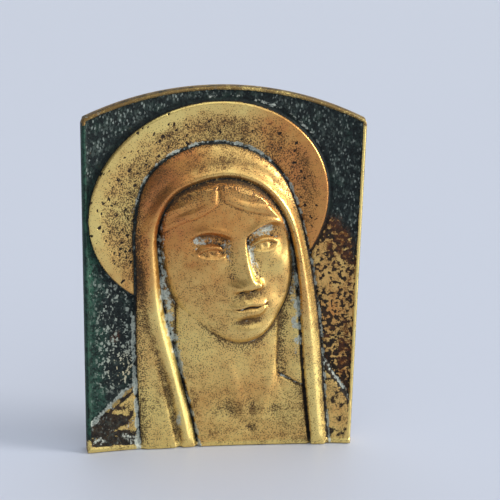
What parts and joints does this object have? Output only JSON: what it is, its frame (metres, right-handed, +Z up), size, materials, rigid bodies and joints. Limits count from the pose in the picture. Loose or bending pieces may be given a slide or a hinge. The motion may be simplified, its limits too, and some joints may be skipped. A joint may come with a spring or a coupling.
{
  "type": "bronze icon",
  "caption": "Small arched cast relief plaque, gently bowed, with a veiled and haloed head, standing on its flat lower edge.",
  "frame": {"origin": "middle of the bounding box on the plane that the lower edge stands on", "axes": "+Z up the plaque, -Y out of its front towards the viewer, +X to the viewer's right"},
  "size_m": [0.0726, 0.012, 0.0978],
  "materials": {
    "aged_bronze": "worn golden bronze on the high relief, dark green-black patina on the sunk ground, pale verdigris in the deepest grooves"
  },
  "bodies": {
    "root": {"icon_plaque": "aged_bronze"}
  },
  "joints": []
}
